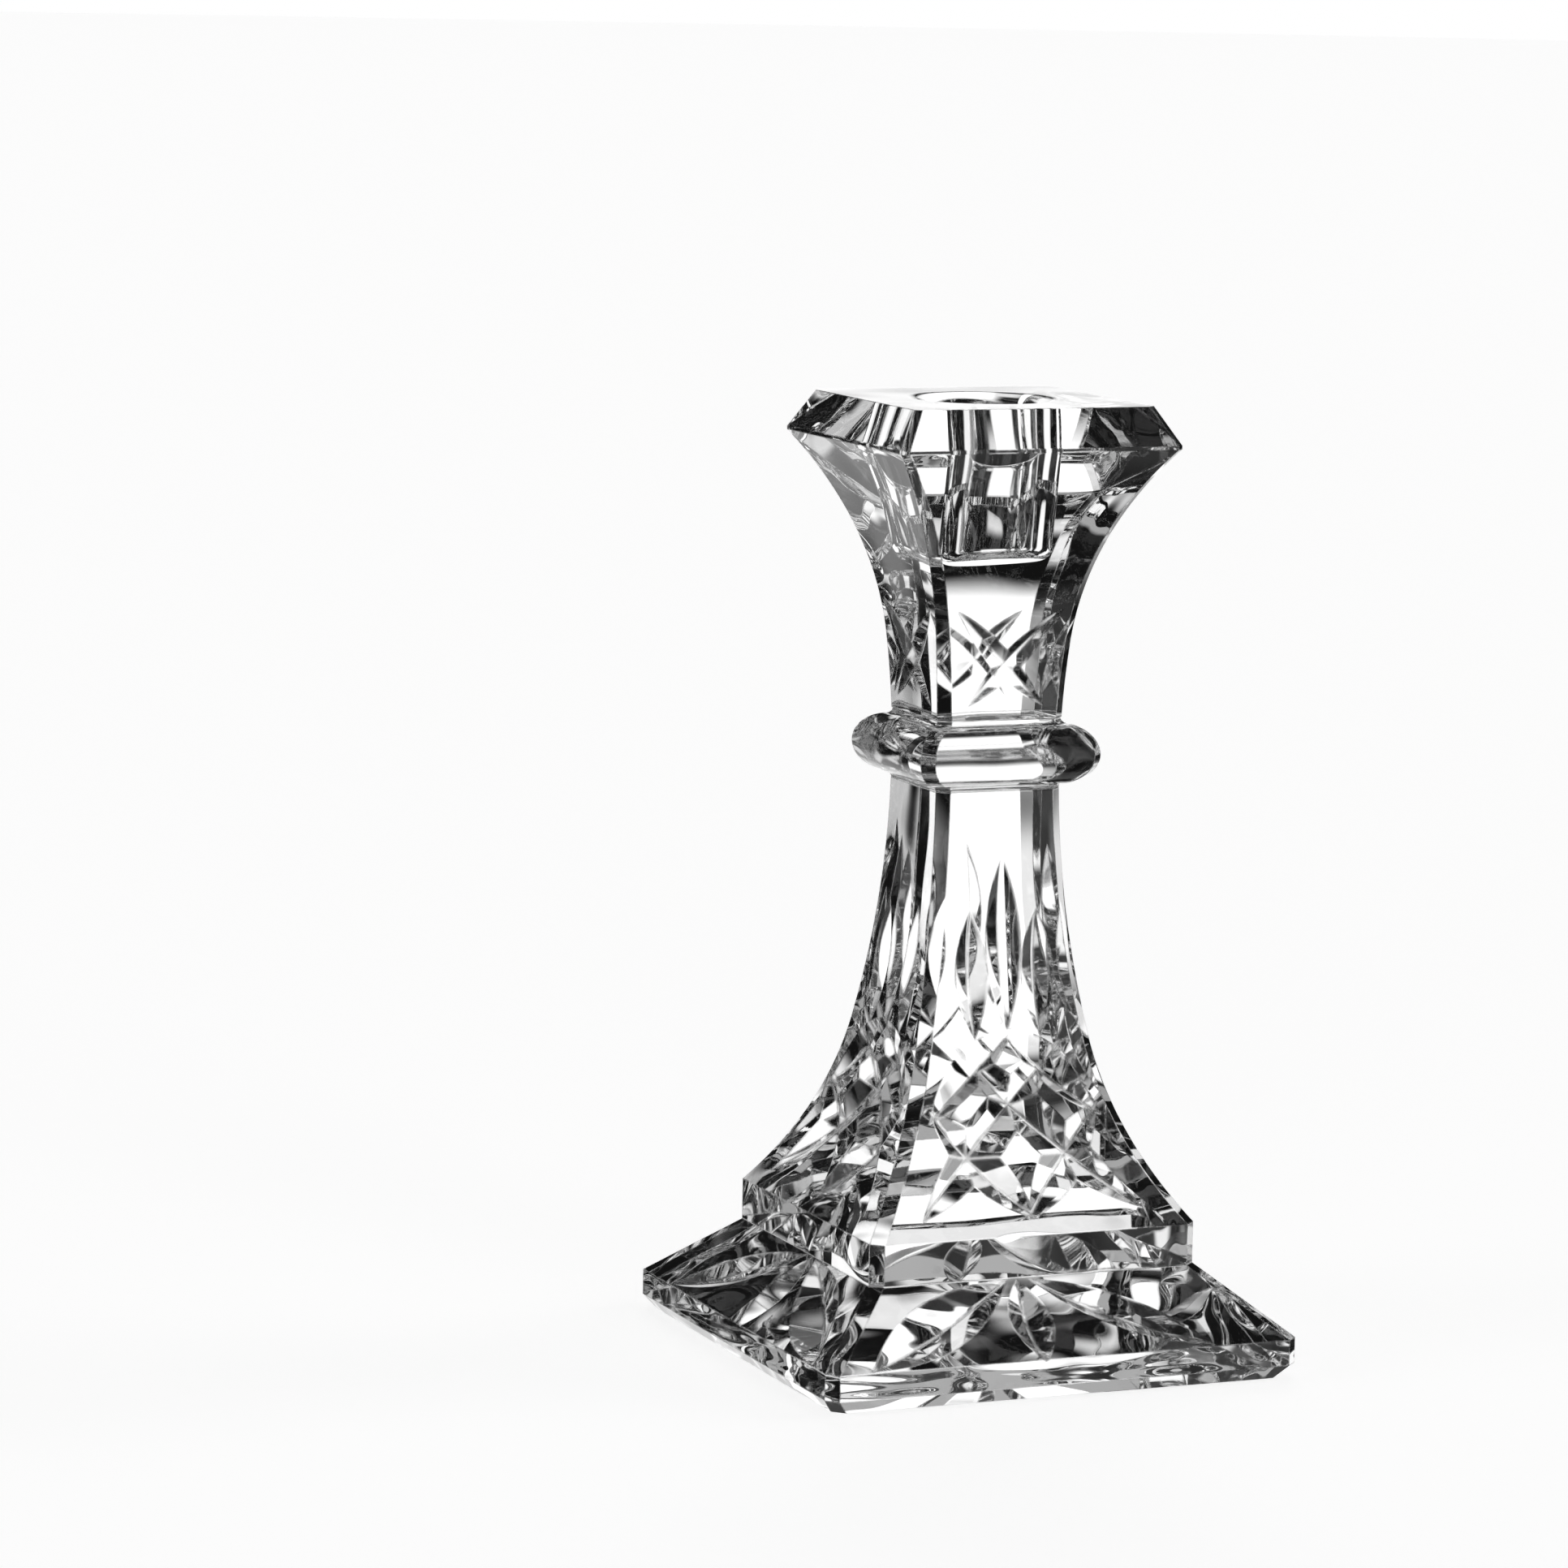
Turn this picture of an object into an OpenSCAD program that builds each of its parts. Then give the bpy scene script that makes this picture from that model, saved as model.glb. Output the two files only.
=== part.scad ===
// Cut-crystal candlestick: a square waisted stick with a round candle socket.
// The waist is a beaded collar. Above it a bevelled head holds the candle, and below it
// a flared stem stands on a square foot. All four sides carry the same wheel-cut pattern.

/* [Size] */
// Height from the table to the top face
height = 184; // [180:0.5:190]
// Width of the square foot
foot_w = 97.3; // [94:0.1:102]
// Width of the band at the bottom of the stem
plinth_w = 67.5; // [64:0.1:70]
// Width of the waist, inside the collar
waist_w = 25.7; // [24:0.1:28]
// Width of the head at its sharpest edge
head_w = 57.8; // [54:0.1:60]

/* [Candle socket] */
// Diameter of the straight wall, for a 22.2 mm candle
socket_d = 22.8; // [22.4:0.1:24]
// Depth from the top face to the socket floor
socket_depth = 28.5; // [24:0.5:32]
// Rounding of the socket's lip
lip_r = 3.4; // [2:0.1:4]
// Rounding between the socket's wall and floor
floor_r = 2.5; // [1:0.1:4]

/* [Cutting] */
// Angle between the two flanks of the cutting wheel's edge
wheel_angle = 114; // [100:1:120]
// How far each fan on the foot sits from the middle of its side
fan_shift = 4.5; // [0:0.5:6]

/* [Hidden] */
$fn = 96;

// Heights of the bond planes and edges, from the table up
foot_under_z = 2.75;
foot_band_z = 7.75;
plinth_z = 20.15;
plinth_top_z = 28.15;
collar_z = 116.85;
edge_z = height - 7.9;
edge_h = 0.7;

// Half widths of the edges
foot_half = foot_w / 2;
foot_under_half = foot_half - 2.25;
plinth_half = plinth_w / 2;
waist_half = waist_w / 2;
head_half = head_w / 2;
top_half = head_half - 4.15;

// How much each vertical corner is cut back, measured along the side
corner = 2.2;
head_corner = 1.35;

// Both flares are upright at the waist and bend outwards in two arcs. The second arc starts
// turned a little further than the first one ends, so that the two cross cleanly
waist_z = 114.5;
stem_turn = 11.57;
stem_bend_r = 265;
neck_turn = 5.87;
neck_bend_r = 246;
cross_turn = 0.6;

// The collar is a round bead with a small fillet above and below it
bead_r = 5.7;
bead_half = waist_half + 0.2;
fillet_r = 1.2;
seam_h = sqrt(pow(bead_r + fillet_r, 2) - pow(fillet_r, 2));
collar_low_z = collar_z - seam_h;
collar_high_z = collar_z + seam_h;

socket_r = socket_d / 2;

// Longer than any half outline, and an overlap between parts of one cutter
big = 120;
eps = 0.01;

function unit(v) = v / norm(v);
// Distance of a cut-back corner from the axis, from the half width of the side
function corner_reach(half, leg = corner) = half * sqrt(2) - leg / sqrt(2);

// A flare is [waist half width, end half width, end height above the waist, turn, first radius].
// The knee is where its second arc starts
function flare_knee(f) = [f[0] + f[4] * (1 - cos(f[3])), f[4] * sin(f[3])];
function flare_r2(f) =
    let (k = flare_knee(f), dx = f[1] - k.x, dh = f[2] - k.y, turn = f[3] + cross_turn)
    (dx * dx + dh * dh) / (2 * (dx * cos(turn) - dh * sin(turn)));
function flare_centre2(f) =
    flare_knee(f) + flare_r2(f) * [cos(f[3] + cross_turn), -sin(f[3] + cross_turn)];
// The same flare seen along its corners, through the same three heights
function corner_flare(f, end_leg) =
    let (k = flare_knee(f), turn = 2 * atan(sqrt(2) * tan(f[3] / 2)))
    [corner_reach(f[0]), corner_reach(f[1], end_leg), f[2], turn, k.y / sin(turn)];
// Half width at a height above the waist
function flare_half(f, h) =
    let (k = flare_knee(f), r2 = flare_r2(f), c2 = flare_centre2(f))
    h < k.y ? f[0] + f[4] - sqrt(f[4] * f[4] - h * h)
            : c2.x - sqrt(r2 * r2 - pow(h - c2.y, 2));

stem_flare = [waist_half, plinth_half, waist_z - plinth_top_z, stem_turn, stem_bend_r];
neck_flare = [waist_half, head_half, edge_z - waist_z, neck_turn, neck_bend_r];

function stem_half(z) = flare_half(stem_flare, waist_z - z);
function neck_half(z) = flare_half(neck_flare, z - waist_z);
function slope_half(z) =
    plinth_half + (foot_half - plinth_half) * (plinth_z - z) / (plinth_z - foot_band_z);

// Half outline of a flare with the axis on the left, from height h0 past its end by the height
// of an upright skirt
module flare_outline(f, h0, skirt) {
    difference() {
        translate([0, h0]) square([f[1], f[2] + skirt - h0]);
        intersection() {
            translate([f[0] + f[4], 0]) circle(f[4]);
            translate([0, -big]) square([2 * big, big + flare_knee(f).y - 1]);
        }
        translate(flare_centre2(f)) circle(flare_r2(f));
    }
}

// A square solid with cut-back corners, from the half outline of its sides and of its corners
module four_sided() {
    intersection() {
        intersection() {
            upright(0) children(0);
            upright(90) children(0);
        }
        intersection() {
            upright(45) children(1);
            upright(135) children(1);
        }
    }
}

module upright(turn) {
    rotate([90, 0, turn]) linear_extrude(2 * big, center = true) {
        children();
        mirror([1, 0]) children();
    }
}

// A V-edged cutting wheel. Its rim passes through p and q and sinks below the line between them.
// It stands square to the wall whose outward direction is given, or leans by the given angle.
module wheel(p, q, outward, sink, lean = 0) {
    run = norm(q - p);
    along = (q - p) / run;
    square_out = unit(outward - (outward * along) * along);
    across = cross(along, square_out);
    out = square_out * cos(lean) + across * sin(lean);
    side = cross(along, out);
    r = (run * run / 4 + sink * sink) / (2 * sink);
    centre = (p + q) / 2 + out * (r - sink);
    thick = 9;
    multmatrix([
        [along.x, out.x, side.x, centre.x],
        [along.y, out.y, side.y, centre.y],
        [along.z, out.z, side.z, centre.z],
        [0, 0, 0, 1]
    ])
        rotate_extrude() polygon([
            [0, -thick],
            [r - thick / tan(wheel_angle / 2), -thick],
            [r, 0],
            [r - thick / tan(wheel_angle / 2), thick],
            [0, thick]
        ]);
}

// Points on the -Y side
function on_stem(x, z) = [x, -stem_half(z), z];
function on_neck(x, z) = [x, -neck_half(z), z];
function on_slope(x, z) = [x, -slope_half(z), z];
function stem_out(z) = unit([0, -1, stem_half(z - 0.5) - stem_half(z + 0.5)]);
function neck_out(z) = unit([0, -1, neck_half(z - 0.5) - neck_half(z + 0.5)]);
slope_out = unit([0, -(plinth_z - foot_band_z), foot_half - plinth_half]);

module stem_cut(x0, z0, x1, z1, sink, lean = 0) {
    wheel(on_stem(x0, z0), on_stem(x1, z1), stem_out((z0 + z1) / 2), sink, lean);
}

// Three lances side by side, the middle one taller
module lances() {
    stem_cut(0, 98, 0, 64.2, 2.9);
    for (s = [-1, 1]) stem_cut(s * 6.85, 87.5, s * 6.85, 63, 2.5);
}

// A net of four diamonds below the lances
module diamond_net() {
    for (s = [-1, 1]) {
        stem_cut(s * 1.5, 65, -s * 18, 48.2, 2.4, s * 12);
        stem_cut(-s * 11.5, 62.5, s * 23, 31.4, 4.6);
        stem_cut(-s * 17.6, 50.6, s * 1, 30.8, 3.5);
    }
}

// Two crossed lances on the neck
module star() {
    for (s = [-1, 1])
        wheel(on_neck(s * 11, 145), on_neck(-s * 7.8, 126.4), neck_out(135.5), 1.8);
}

// Three leaf cuts that spread from below the plinth, the broadest towards the corner
module fan() {
    wheel(on_slope(0, 19.9), on_slope(0, 7.4), slope_out, 2.8);
    wheel(on_slope(-2, 19.9), on_slope(-35.3, 8), slope_out, 3.7);
    wheel(on_slope(2.5, 19.9), on_slope(35.3, 8), slope_out, 2.5);
}

module each_side() {
    for (a = [0:90:270]) rotate(a) children();
}

// The fans lean towards two opposite corners, as a mirrored pair at each
module each_fan() {
    for (a = [0, 180]) {
        rotate(a) translate([-fan_shift, 0, 0]) children();
        rotate(a) mirror([1, -1, 0]) translate([-fan_shift, 0, 0]) children();
    }
}

module head() {
    color("gainsboro") difference() {
        four_sided() {
            head_outline(neck_flare, head_half, top_half);
            head_outline(corner_flare(neck_flare, head_corner), corner_reach(head_half, head_corner),
                corner_reach(top_half, head_corner));
        }
        socket();
        each_side() star();
    }
}

module head_outline(f, edge_half, rim_half) {
    difference() {
        translate([0, waist_z]) flare_outline(f, collar_high_z - waist_z, height - edge_z);
        polygon([
            [edge_half, edge_z + edge_h],
            [rim_half, height],
            [rim_half, height + 1],
            [edge_half + 1, height + 1],
            [edge_half + 1, edge_z + edge_h]
        ]);
    }
}

// The hollow for the candle: a straight round wall with a rounded lip and floor
module socket() {
    floor_z = height - socket_depth;
    translate([0, 0, floor_z + floor_r]) cylinder(r = socket_r, h = socket_depth - floor_r + 1);
    rotate_extrude() {
        translate([0, floor_z]) square([socket_r - floor_r, floor_r + eps]);
        intersection() {
            translate([socket_r - floor_r, floor_z + floor_r]) circle(floor_r);
            translate([0, floor_z]) square([socket_r, floor_r]);
        }
        difference() {
            translate([0, height - lip_r]) square([socket_r + lip_r, lip_r + 1]);
            translate([socket_r + lip_r, height - lip_r]) circle(lip_r);
        }
    }
}

module collar() {
    corner_reach_max = corner_reach(bead_half + bead_r);
    swell = corner_reach_max - corner_reach(bead_half);
    corner_r = (swell * swell + bead_r * bead_r) / (2 * swell);
    color("silver") four_sided() {
        collar_outline(waist_half, bead_half, bead_r);
        collar_outline(corner_reach(waist_half), corner_reach_max - corner_r, corner_r);
    }
}

module collar_outline(wall, bead_x, r) {
    reach = sqrt(pow(r + fillet_r, 2) - pow(wall + fillet_r - bead_x, 2));
    intersection() {
        union() {
            translate([0, collar_low_z]) square([wall, 2 * seam_h]);
            translate([bead_x, collar_z]) circle(r);
            difference() {
                translate([0, collar_z - reach]) square([wall + fillet_r, 2 * reach]);
                for (s = [-1, 1]) translate([wall + fillet_r, collar_z + s * reach]) circle(fillet_r);
            }
        }
        translate([0, collar_low_z]) square([big, 2 * seam_h]);
    }
}

module stem() {
    color("gainsboro") difference() {
        four_sided() {
            stem_outline(stem_flare);
            stem_outline(corner_flare(stem_flare, corner));
        }
        each_side() {
            lances();
            diamond_net();
        }
    }
}

module stem_outline(f) {
    translate([0, waist_z]) mirror([0, 1])
        flare_outline(f, waist_z - collar_low_z, plinth_top_z - plinth_z);
}

module foot() {
    color("silver") difference() {
        four_sided() {
            foot_outline(foot_under_half, foot_half, plinth_half);
            foot_outline(corner_reach(foot_under_half), corner_reach(foot_half), corner_reach(plinth_half));
        }
        each_fan() fan();
    }
}

module foot_outline(under, band, top) {
    difference() {
        square([band, plinth_z]);
        polygon([
            [under, 0],
            [under, -1],
            [band + 1, -1],
            [band + 1, foot_under_z],
            [band, foot_under_z]
        ]);
        polygon([
            [band, foot_band_z],
            [band + 1, foot_band_z],
            [band + 1, plinth_z + 1],
            [top, plinth_z + 1],
            [top, plinth_z]
        ]);
    }
}

head();
collar();
stem();
foot();
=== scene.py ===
"""A cut-crystal candlestick: four bonded glass sections, cut with V-edged wheels.

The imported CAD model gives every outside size. The sections are lofted as square rings with
cut-back corners, the socket is turned, and every lance, star, diamond and fan is ground into the
glass by a swept wheel, so that light bends through real facets.
"""

import math

import bmesh
import bpy
from mathutils import Matrix, Vector


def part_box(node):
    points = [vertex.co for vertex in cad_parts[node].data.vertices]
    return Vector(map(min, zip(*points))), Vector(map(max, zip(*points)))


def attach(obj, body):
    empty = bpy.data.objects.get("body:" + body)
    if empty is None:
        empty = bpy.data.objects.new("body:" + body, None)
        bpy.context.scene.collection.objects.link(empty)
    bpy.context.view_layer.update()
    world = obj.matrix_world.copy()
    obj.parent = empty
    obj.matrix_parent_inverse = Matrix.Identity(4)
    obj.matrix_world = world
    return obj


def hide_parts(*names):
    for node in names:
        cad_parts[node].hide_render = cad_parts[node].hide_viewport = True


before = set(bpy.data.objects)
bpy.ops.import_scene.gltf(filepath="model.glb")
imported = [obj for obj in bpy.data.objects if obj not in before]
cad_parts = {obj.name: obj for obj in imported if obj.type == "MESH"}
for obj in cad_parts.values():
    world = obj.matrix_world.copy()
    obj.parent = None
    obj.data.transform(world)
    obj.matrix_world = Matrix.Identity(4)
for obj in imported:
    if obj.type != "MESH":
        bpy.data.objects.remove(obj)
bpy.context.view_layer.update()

MM = 0.001

# ---------------------------------------------------------------- sizes from the frame, in mm

_, foot_high = (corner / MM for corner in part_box("foot"))
_, stem_high = (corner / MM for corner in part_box("stem"))
head_low, head_high = (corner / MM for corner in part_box("head"))

HEIGHT = head_high.z
FOOT_HALF = foot_high.x
PLINTH_HALF = stem_high.x
HEAD_HALF = head_high.x
PLINTH_Z = foot_high.z
COLLAR_LOW_Z = stem_high.z
COLLAR_HIGH_Z = head_low.z

# Sizes that the boxes don't show, as in the CAD source
WAIST_HALF = 12.85
WAIST_Z = 114.5
COLLAR_Z = (COLLAR_LOW_Z + COLLAR_HIGH_Z) / 2
BEAD_R = 5.7
BEAD_HALF = WAIST_HALF + 0.2
FILLET_R = 1.2
PLINTH_TOP_Z = PLINTH_Z + 8
FOOT_UNDER_Z = 2.75
FOOT_UNDER_HALF = FOOT_HALF - 2.25
FOOT_BAND_Z = 7.75
EDGE_Z = HEIGHT - 7.9
EDGE_H = 0.7
TOP_HALF = HEAD_HALF - 4.15
CORNER = 2.2
HEAD_CORNER = 1.35
FAN_SHIFT = 4.5

SOCKET_R = 11.4
SOCKET_DEPTH = 28.5
LIP_R = 3.4
FLOOR_R = 2.5
PAST_TOP = 2

# The wheel that makes the cuts: its rim's angle, half its thickness, and how its mesh is made
WHEEL_ANGLE = math.radians(114)
WHEEL_HALF = 9.0
RIM_STEP = 0.8
RIM_STEPS_MIN = 24
RIM_PAST_SURFACE = 7
RIM_ARC_COS_MIN = -0.9

FACET_ANGLE = math.radians(9)
LEVEL_NORMAL = 0.999
SAME_HEIGHT = 0.01


# ---------------------------------------------------------------- outlines

class Flare:
    """Upright at the waist, then two tangent arcs out to the end. The first turns by turn degrees."""

    SLOPE_REACH = 0.25

    def __init__(self, end_half, height, turn, first_r):
        self.height = height
        self.first_r = first_r
        self.turn = math.radians(turn)
        sin, cos = math.sin(self.turn), math.cos(self.turn)
        self.knee_half = WAIST_HALF + first_r * (1 - cos)
        self.knee_h = first_r * sin
        dx = end_half - self.knee_half
        dh = height - self.knee_h
        self.second_r = (dx * dx + dh * dh) / (2 * (dx * cos - dh * sin))
        self.centre_half = self.knee_half + self.second_r * cos
        self.centre_h = self.knee_h - self.second_r * sin
        self.end_turn = math.asin((height - self.centre_h) / self.second_r)

    def half(self, h):
        """Half width at a height above or below the waist."""
        if h < self.knee_h:
            return WAIST_HALF + self.first_r - math.sqrt(self.first_r ** 2 - h * h)
        return self.centre_half - math.sqrt(self.second_r ** 2 - (h - self.centre_h) ** 2)

    def slope(self, h):
        """How fast the half width grows with the height."""
        rise = self.half(h + self.SLOPE_REACH) - self.half(h - self.SLOPE_REACH)
        return rise / (2 * self.SLOPE_REACH)

    def heights(self, start, step=math.radians(1)):
        """Heights from start to the end, about one step of turning apart."""
        first = math.asin(start / self.first_r)
        count = math.ceil((self.turn - first) / step)
        found = [
            self.first_r * math.sin(first + (self.turn - first) * i / count)
            for i in range(count)
        ]
        count = math.ceil((self.end_turn - self.turn) / step)
        found += [
            self.centre_h
            + self.second_r * math.sin(self.turn + (self.end_turn - self.turn) * i / count)
            for i in range(count + 1)
        ]
        return found


stem_flare = Flare(PLINTH_HALF, WAIST_Z - PLINTH_TOP_Z, turn=11.3, first_r=265)
neck_flare = Flare(HEAD_HALF, EDGE_Z - WAIST_Z, turn=5.6, first_r=246)


def stem_half(z):
    return stem_flare.half(WAIST_Z - z)


def neck_half(z):
    return neck_flare.half(z - WAIST_Z)


def slope_half(z):
    """Half width of the foot's sloped top."""
    share = (PLINTH_Z - z) / (PLINTH_Z - FOOT_BAND_Z)
    return PLINTH_HALF + (FOOT_HALF - PLINTH_HALF) * share


# ---------------------------------------------------------------- materials

CRYSTAL_IOR = 1.545


def emptied(owner):
    """The nodes and links of a material or world, with nothing in them."""
    owner.use_nodes = True
    owner.node_tree.nodes.clear()
    return owner.node_tree.nodes, owner.node_tree.links


def glass(name, edge_radius, scale, depth):
    """Lead crystal with softened edges and a faint ripple of the given scale and depth in metres."""
    material = bpy.data.materials.new(name)
    nodes, links = emptied(material)
    place = nodes.new("ShaderNodeTexCoord")
    ripple = nodes.new("ShaderNodeTexNoise")
    ripple.inputs["Scale"].default_value = scale
    ripple.inputs["Detail"].default_value = 0
    links.new(place.outputs["Object"], ripple.inputs["Vector"])
    edge = nodes.new("ShaderNodeBevel")
    edge.samples = 4
    edge.inputs["Radius"].default_value = edge_radius
    bump = nodes.new("ShaderNodeBump")
    bump.inputs["Strength"].default_value = 1.0
    bump.inputs["Distance"].default_value = depth
    links.new(ripple.outputs[0], bump.inputs["Height"])
    links.new(edge.outputs[0], bump.inputs["Normal"])
    shader = nodes.new("ShaderNodeBsdfGlass")
    shader.inputs["Roughness"].default_value = 0
    shader.inputs["IOR"].default_value = CRYSTAL_IOR
    links.new(bump.outputs[0], shader.inputs["Normal"])
    out = nodes.new("ShaderNodeOutputMaterial")
    links.new(shader.outputs[0], out.inputs["Surface"])
    return material


def bond():
    """The clear bond between two sections, which neither bends nor mirrors."""
    material = bpy.data.materials.new("bond")
    nodes, links = emptied(material)
    clear = nodes.new("ShaderNodeBsdfTransparent")
    out = nodes.new("ShaderNodeOutputMaterial")
    links.new(clear.outputs[0], out.inputs["Surface"])
    return material


# Each section's slots: the fire-polished skin, the bonded faces and the flanks of the cuts
SKIN, BONDED, CUT = range(3)
MATERIALS = (
    glass("crystal", edge_radius=0.0004, scale=60, depth=0.0007),
    bond(),
    glass("cut_crystal", edge_radius=0.0010, scale=90, depth=0.0002),
)


# ---------------------------------------------------------------- mesh building

def new_object(name, mesh):
    piece = bpy.data.objects.new(name, mesh)
    bpy.context.scene.collection.objects.link(piece)
    return piece


def square_ring(bm, z, half, leg):
    """Eight corners of a square whose corners are cut back by leg along each side."""
    near = half - leg
    around = []
    for turn in range(4):
        for x, y in ((half, -near), (half, near)):
            for _ in range(turn):
                x, y = -y, x
            around.append(bm.verts.new((x * MM, y * MM, z * MM)))
    return around


def joined(name, bm, rings, slot):
    """A closed solid through rings of as many points each, with all its faces in one slot."""
    count = len(rings[0])
    for low, high in zip(rings, rings[1:]):
        for i in range(count):
            j = (i + 1) % count
            bm.faces.new((low[i], low[j], high[j], high[i]))
    bm.faces.new(reversed(rings[0]))
    bm.faces.new(rings[-1])
    bmesh.ops.recalc_face_normals(bm, faces=bm.faces)
    mesh = bpy.data.meshes.new(name)
    bm.to_mesh(mesh)
    bm.free()
    for material in MATERIALS:
        mesh.materials.append(material)
    for face in mesh.polygons:
        face.material_index = slot
    return new_object(name, mesh)


def loft(name, stations):
    """A closed square solid through stations of (height, half width, corner leg)."""
    bm = bmesh.new()
    rings = [square_ring(bm, *station) for station in stations]
    return joined(name, bm, rings, SKIN)


def lathe(name, outline, segments=160):
    """A closed turned solid from (radius, height) points, with flat ends."""
    bm = bmesh.new()
    rings = []
    for r, z in outline:
        rings.append([
            bm.verts.new((
                r * math.cos(2 * math.pi * i / segments) * MM,
                r * math.sin(2 * math.pi * i / segments) * MM,
                z * MM,
            ))
            for i in range(segments)
        ])
    return joined(name, bm, rings, SKIN)


def wheel(p, q, outward, sink, lean=0.0):
    """The part of a V-edged wheel that grinds from p to q and sinks below the line between them."""
    p, q, outward = Vector(p), Vector(q), Vector(outward)
    run = (q - p).length
    along = (q - p) / run
    square_out = (outward - outward.dot(along) * along).normalized()
    across = along.cross(square_out)
    out = square_out * math.cos(lean) + across * math.sin(lean)
    side = along.cross(out)
    r = (run * run / 4 + sink * sink) / (2 * sink)
    centre = (p + q) / 2 + out * (r - sink)
    shoulder = r - WHEEL_HALF / math.tan(WHEEL_ANGLE / 2)
    section = ((shoulder, -WHEEL_HALF), (r, 0.0), (shoulder, WHEEL_HALF))
    reach = math.acos(max(RIM_ARC_COS_MIN, 1 - (sink + RIM_PAST_SURFACE) / r))
    steps = max(RIM_STEPS_MIN, math.ceil(2 * reach * r / RIM_STEP))
    bm = bmesh.new()
    rings = []
    for i in range(steps + 1):
        turn = reach * (2 * i / steps - 1)
        spoke = along * math.sin(turn) - out * math.cos(turn)
        rings.append([
            bm.verts.new((centre + spoke * radius + side * offset) * MM)
            for radius, offset in section
        ])
    return joined("wheel", bm, rings, CUT)


def placed(cutter, matrix):
    """Moves a cutter's mesh, and turns its faces the right way out after a mirror."""
    cutter.data.transform(matrix)
    if matrix.determinant() < 0:
        cutter.data.flip_normals()
    return cutter


def on_each_side(make):
    """The cutters that make() returns, on all four sides."""
    return [
        placed(cutter, Matrix.Rotation(math.pi / 2 * turn, 4, "Z"))
        for turn in range(4)
        for cutter in make()
    ]


def cut(piece, cutters):
    """Takes the cutters out of a piece, and deletes them."""
    tools = bpy.data.collections.new("tools")
    bpy.context.scene.collection.children.link(tools)
    for cutter in cutters:
        bpy.context.scene.collection.objects.unlink(cutter)
        tools.objects.link(cutter)
    modifier = piece.modifiers.new("cut", "BOOLEAN")
    modifier.operation = "DIFFERENCE"
    modifier.operand_type = "COLLECTION"
    modifier.collection = tools
    modifier.solver = "MANIFOLD"
    graph = bpy.context.evaluated_depsgraph_get()
    mesh = bpy.data.meshes.new_from_object(piece.evaluated_get(graph))
    piece.modifiers.clear()
    piece.data = mesh
    for cutter in cutters:
        spent = cutter.data
        bpy.data.objects.remove(cutter)
        bpy.data.meshes.remove(spent)
    bpy.data.collections.remove(tools)
    return piece


# ---------------------------------------------------------------- the cutting

def on_stem(x, z):
    return Vector((x, -stem_half(z), z))


def on_neck(x, z):
    return Vector((x, -neck_half(z), z))


def on_slope(x, z):
    return Vector((x, -slope_half(z), z))


def stem_cut(x0, z0, x1, z1, sink, lean=0.0):
    """A cut between two places on the stem's front, with the wheel leaning by lean degrees."""
    out = (0, -1, stem_flare.slope(WAIST_Z - (z0 + z1) / 2))
    return wheel(on_stem(x0, z0), on_stem(x1, z1), out, sink, math.radians(lean))


def lances():
    """Three lances side by side, the middle one taller."""
    made = [stem_cut(0, 98, 0, 64.2, 3.0)]
    for s in (-1, 1):
        made.append(stem_cut(s * 6.85, 87.5, s * 6.85, 63, 2.5))
    return made


def diamond_net():
    """Crossed cuts below the lances, which leave diamonds and end in leaves above the plinth."""
    made = []
    for s in (-1, 1):
        made.append(stem_cut(s * 1.5, 65, -s * 18, 48.2, 2.4, s * 12))
        made.append(stem_cut(-s * 11.5, 62.5, s * 23, 31.4, 4.6))
        made.append(stem_cut(-s * 17.6, 50.6, s * 1, 30.8, 3.5))
    return made


def star():
    """Two crossed lances on the neck."""
    middle_z = 135.5
    out = (0, -1, -neck_flare.slope(middle_z - WAIST_Z))
    return [
        wheel(on_neck(s * 11, 145), on_neck(-s * 7.8, 126.4), out, 1.8)
        for s in (-1, 1)
    ]


def fan():
    """Three leaf cuts that spread from below the plinth, the broadest towards the corner."""
    out = (0, -(PLINTH_Z - FOOT_BAND_Z), FOOT_HALF - PLINTH_HALF)
    return [
        wheel(on_slope(0, 19.9), on_slope(0, 7.4), out, 2.8),
        wheel(on_slope(-2, 19.9), on_slope(-35.3, 8), out, 3.7),
        wheel(on_slope(2.5, 19.9), on_slope(35.3, 8), out, 2.5),
    ]


def all_fans():
    """The fans lean towards two opposite corners, as a mirrored pair at each."""
    shift = Matrix.Translation((-FAN_SHIFT * MM, 0, 0))
    swap = Matrix(((0, 1, 0, 0), (1, 0, 0, 0), (0, 0, 1, 0), (0, 0, 0, 1)))
    made = []
    for turn in (0, math.pi):
        for pair in (shift, swap @ shift):
            place = Matrix.Rotation(turn, 4, "Z") @ pair
            made += [placed(cutter, place) for cutter in fan()]
    return made


# ---------------------------------------------------------------- the four sections

def make_head():
    stations = [(COLLAR_HIGH_Z, neck_half(COLLAR_HIGH_Z), CORNER)]
    for h in neck_flare.heights(COLLAR_HIGH_Z - WAIST_Z)[1:]:
        share = h / neck_flare.height
        leg = CORNER + (HEAD_CORNER - CORNER) * share ** 2
        stations.append((WAIST_Z + h, neck_flare.half(h), leg))
    stations.append((EDGE_Z + EDGE_H, HEAD_HALF, HEAD_CORNER))
    stations.append((HEIGHT, TOP_HALF, HEAD_CORNER))
    return cut(loft("crystal_head", stations), [make_socket()] + on_each_side(star))


def arc(first, last, steps):
    """Angles from first to last, in equal steps."""
    return [first + (last - first) * i / steps for i in range(steps + 1)]


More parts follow.
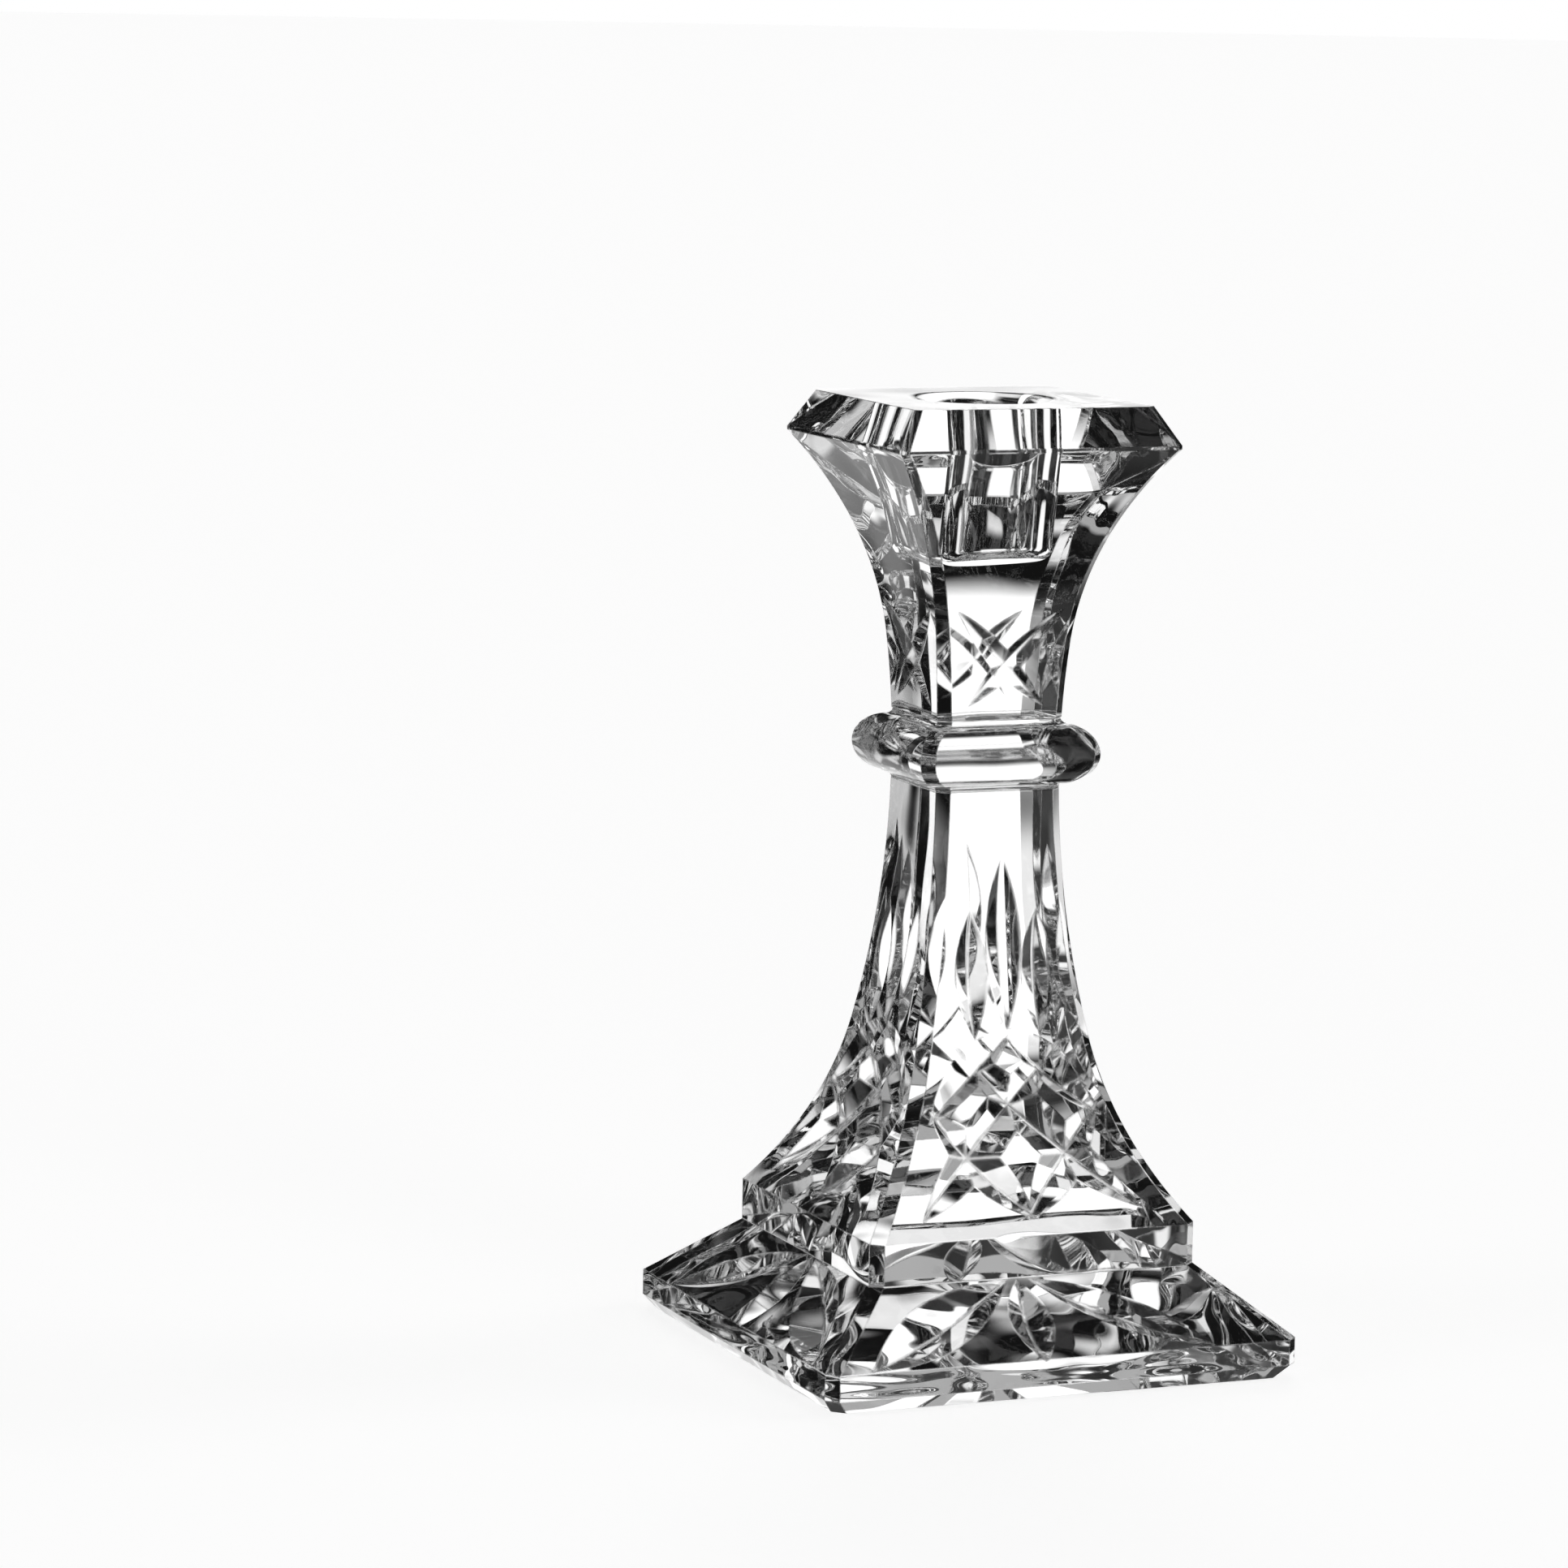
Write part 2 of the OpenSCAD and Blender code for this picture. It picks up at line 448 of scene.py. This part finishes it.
def make_socket():
    """The hollow for the candle: a straight wall with a rounded lip and floor."""
    floor_z = HEIGHT - SOCKET_DEPTH
    outline = []
    for turn in arc(0, math.pi / 2, 12):
        outline.append((
            SOCKET_R - FLOOR_R + FLOOR_R * math.sin(turn),
            floor_z + FLOOR_R - FLOOR_R * math.cos(turn),
        ))
    for turn in arc(0, math.pi / 2, 16):
        outline.append((
            SOCKET_R + LIP_R - LIP_R * math.cos(turn),
            HEIGHT - LIP_R + LIP_R * math.sin(turn),
        ))
    outline.append((SOCKET_R + LIP_R, HEIGHT + PAST_TOP))
    return lathe("socket", outline)


def make_collar():
    """A half-round bead between two fillets."""
    lift = math.atan2(WAIST_HALF + FILLET_R - BEAD_HALF, COLLAR_HIGH_Z - COLLAR_Z)
    fillet = [
        (
            COLLAR_LOW_Z + FILLET_R * math.sin(turn),
            WAIST_HALF + FILLET_R - FILLET_R * math.cos(turn),
            CORNER,
        )
        for turn in arc(0, math.pi / 2 - lift, 8)
    ]
    bead = [
        (COLLAR_Z + BEAD_R * math.sin(turn), BEAD_HALF + BEAD_R * math.cos(turn), CORNER)
        for turn in arc(lift - math.pi / 2, math.pi / 2 - lift, 48)[1:-1]
    ]
    mirrored = [(2 * COLLAR_Z - z, half, leg) for z, half, leg in reversed(fillet)]
    return loft("crystal_collar", fillet + bead + mirrored)


def make_stem():
    stations = [(PLINTH_Z, PLINTH_HALF, CORNER)]
    for h in reversed(stem_flare.heights(WAIST_Z - COLLAR_LOW_Z)):
        stations.append((WAIST_Z - h, stem_flare.half(h), CORNER))
    return cut(loft("crystal_stem", stations), on_each_side(lances) + on_each_side(diamond_net))


def make_foot():
    stations = [
        (0, FOOT_UNDER_HALF, CORNER),
        (FOOT_UNDER_Z, FOOT_HALF, CORNER),
        (FOOT_BAND_Z, FOOT_HALF, CORNER),
        (PLINTH_Z, PLINTH_HALF, CORNER),
    ]
    return cut(loft("crystal_foot", stations), all_fans())


def finish_piece(piece, node, bonds):
    """Marks a section's bonded faces, and puts it in the place of its CAD node."""
    mesh = piece.data
    for face in mesh.polygons:
        level = abs(face.normal.z) > LEVEL_NORMAL
        if level and any(abs(face.center.z / MM - z) < SAME_HEIGHT for z in bonds):
            face.material_index = BONDED
    mesh.shade_smooth()
    mesh.set_sharp_from_angle(angle=FACET_ANGLE)
    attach(piece, "root")
    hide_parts(node)


finish_piece(make_head(), "head", [COLLAR_HIGH_Z])
finish_piece(make_collar(), "collar", [COLLAR_LOW_Z, COLLAR_HIGH_Z])
finish_piece(make_stem(), "stem", [COLLAR_LOW_Z, PLINTH_Z])
finish_piece(make_foot(), "foot", [PLINTH_Z])


# ---------------------------------------------------------------- light

# Lit panels around the stick, with black card between them. Each is (direction around, half width,
# lowest, highest, brightness), in degrees, with directions counted from straight behind the stick.
BEHIND = 65.6
PANELS = (
    (3, 24, -42, 12, 1.3),
    (6, 36, -31, -12, 0.9),
    (2, 17, 28, 56, 0.9),
    (-73, 13, -28, 44, 1.15),
    (111, 17, -30, 32, 1.0),
    (178, 16, -18, 28, 0.85),
    (-137, 10, -32, 42, 0.7),
    (0, 200, 70, 120, 0.4),
    (0, 200, -120, -58, 0.4),
)
PANEL_EDGE = 4
CARD_GLOW = 0.006
WHITE = (1, 1, 1, 1)

TABLE_RADIUS = 12
TABLE_Z = -0.0001
TABLE_COLOUR = (0.85, 0.85, 0.85, 1)
TABLE_GLOW = 0.8


def studio():
    """Soft panels and black cards around the stick. The camera itself sees plain white."""
    world = bpy.data.worlds.new("studio")
    bpy.context.scene.world = world
    nodes, links = emptied(world)

    def math_node(operation, *values):
        node = nodes.new("ShaderNodeMath")
        node.operation = operation
        for socket, value in zip(node.inputs, values):
            if isinstance(value, (int, float)):
                socket.default_value = value
            else:
                links.new(value, socket)
        return node.outputs[0]

    def fade(value, centre, low, high):
        """Goes from low to high, softly, while value passes the centre."""
        node = nodes.new("ShaderNodeMapRange")
        node.interpolation_type = "SMOOTHSTEP"
        links.new(value, node.inputs["Value"])
        node.inputs["From Min"].default_value = centre - PANEL_EDGE
        node.inputs["From Max"].default_value = centre + PANEL_EDGE
        node.inputs["To Min"].default_value = low
        node.inputs["To Max"].default_value = high
        return node.outputs["Result"]

    direction = nodes.new("ShaderNodeSeparateXYZ")
    links.new(nodes.new("ShaderNodeTexCoord").outputs["Generated"], direction.inputs[0])
    x, y, z = direction.outputs
    around = math_node("MULTIPLY", math_node("ARCTAN2", y, x), math.degrees(1))
    height = math_node("MULTIPLY", math_node("ARCSINE", z), math.degrees(1))
    light = CARD_GLOW
    for centre, half, low, high, brightness in PANELS:
        turn = math_node("SUBTRACT", around, BEHIND + centre)
        off = math_node("ABSOLUTE", math_node("WRAP", turn, 180, -180))
        panel = fade(off, half, brightness, 0)
        panel = math_node("MULTIPLY", panel, fade(height, low, 0, 1))
        panel = math_node("MULTIPLY", panel, fade(height, high, 1, 0))
        light = math_node("MAXIMUM", light, panel)

    lit = nodes.new("ShaderNodeBackground")
    lit.inputs["Color"].default_value = WHITE
    links.new(light, lit.inputs["Strength"])
    plain = nodes.new("ShaderNodeBackground")
    plain.inputs["Color"].default_value = WHITE
    mix = nodes.new("ShaderNodeMixShader")
    links.new(nodes.new("ShaderNodeLightPath").outputs["Is Camera Ray"], mix.inputs[0])
    links.new(lit.outputs[0], mix.inputs[1])
    links.new(plain.outputs[0], mix.inputs[2])
    out = nodes.new("ShaderNodeOutputWorld")
    links.new(mix.outputs[0], out.inputs["Surface"])


def add_floor():
    """A pale light table. Light bent by the glass looks past it to the panels."""
    bm = bmesh.new()
    bmesh.ops.create_circle(bm, cap_ends=True, radius=TABLE_RADIUS, segments=64)
    mesh = bpy.data.meshes.new("floor")
    bm.to_mesh(mesh)
    bm.free()
    floor = new_object("floor", mesh)
    floor.location.z = TABLE_Z
    floor.visible_transmission = False
    floor.visible_glossy = False
    material = bpy.data.materials.new("floor")
    nodes, links = emptied(material)
    matt = nodes.new("ShaderNodeBsdfDiffuse")
    matt.inputs["Color"].default_value = TABLE_COLOUR
    glow = nodes.new("ShaderNodeEmission")
    glow.inputs["Strength"].default_value = TABLE_GLOW
    add = nodes.new("ShaderNodeAddShader")
    links.new(matt.outputs[0], add.inputs[0])
    links.new(glow.outputs[0], add.inputs[1])
    out = nodes.new("ShaderNodeOutputMaterial")
    links.new(add.outputs[0], out.inputs["Surface"])
    mesh.materials.append(material)


studio()
add_floor()

# ---------------------------------------------------------------- camera

AZIMUTH = math.radians(-24.427)
ELEVATION = math.radians(9.002)
DISTANCE = 1193.3
PAN = math.radians(1.7795)
TILT = math.radians(0.8015)
ROLL = math.radians(1.0566)
LENS = 142.15
SENSOR_WIDTH = 36
NEAREST = 0.01
FARTHEST = 20


def add_camera():
    """Looks at the middle of the stick from AZIMUTH and ELEVATION, then pans, tilts and rolls."""
    back = Vector((
        math.sin(AZIMUTH) * math.cos(ELEVATION),
        -math.cos(AZIMUTH) * math.cos(ELEVATION),
        math.sin(ELEVATION),
    ))
    place = Vector((0, 0, HEIGHT / 2)) + back * DISTANCE
    right = Vector((math.cos(AZIMUTH), math.sin(AZIMUTH), 0))
    pan = Matrix.Rotation(PAN, 3, "Z")
    ahead, right = pan @ -back, pan @ right
    ahead = Matrix.Rotation(TILT, 3, right) @ ahead
    up = right.cross(ahead)
    right, up = (
        right * math.cos(ROLL) + up * math.sin(ROLL),
        up * math.cos(ROLL) - right * math.sin(ROLL),
    )
    data = bpy.data.cameras.new("camera")
    data.sensor_width = SENSOR_WIDTH
    data.lens = LENS
    data.clip_start = NEAREST
    data.clip_end = FARTHEST
    camera = bpy.data.objects.new("camera", data)
    turn = Matrix((right, up, -ahead)).transposed().to_4x4()
    camera.matrix_world = Matrix.Translation(place * MM) @ turn
    bpy.context.scene.collection.objects.link(camera)
    bpy.context.scene.camera = camera


add_camera()

# ---------------------------------------------------------------- light paths and finish

# Light crosses and bounces inside the cut glass many times before it leaves
GLASS_BOUNCES = 40
GLOSSY_BOUNCES = 16

scene = bpy.context.scene
scene.view_settings.view_transform = "Standard"
scene.cycles.max_bounces = GLASS_BOUNCES
scene.cycles.transmission_bounces = GLASS_BOUNCES
scene.cycles.transparent_max_bounces = GLASS_BOUNCES
scene.cycles.glossy_bounces = GLOSSY_BOUNCES
scene.cycles.caustics_refractive = True
scene.cycles.caustics_reflective = True
scene.cycles.use_denoising = True
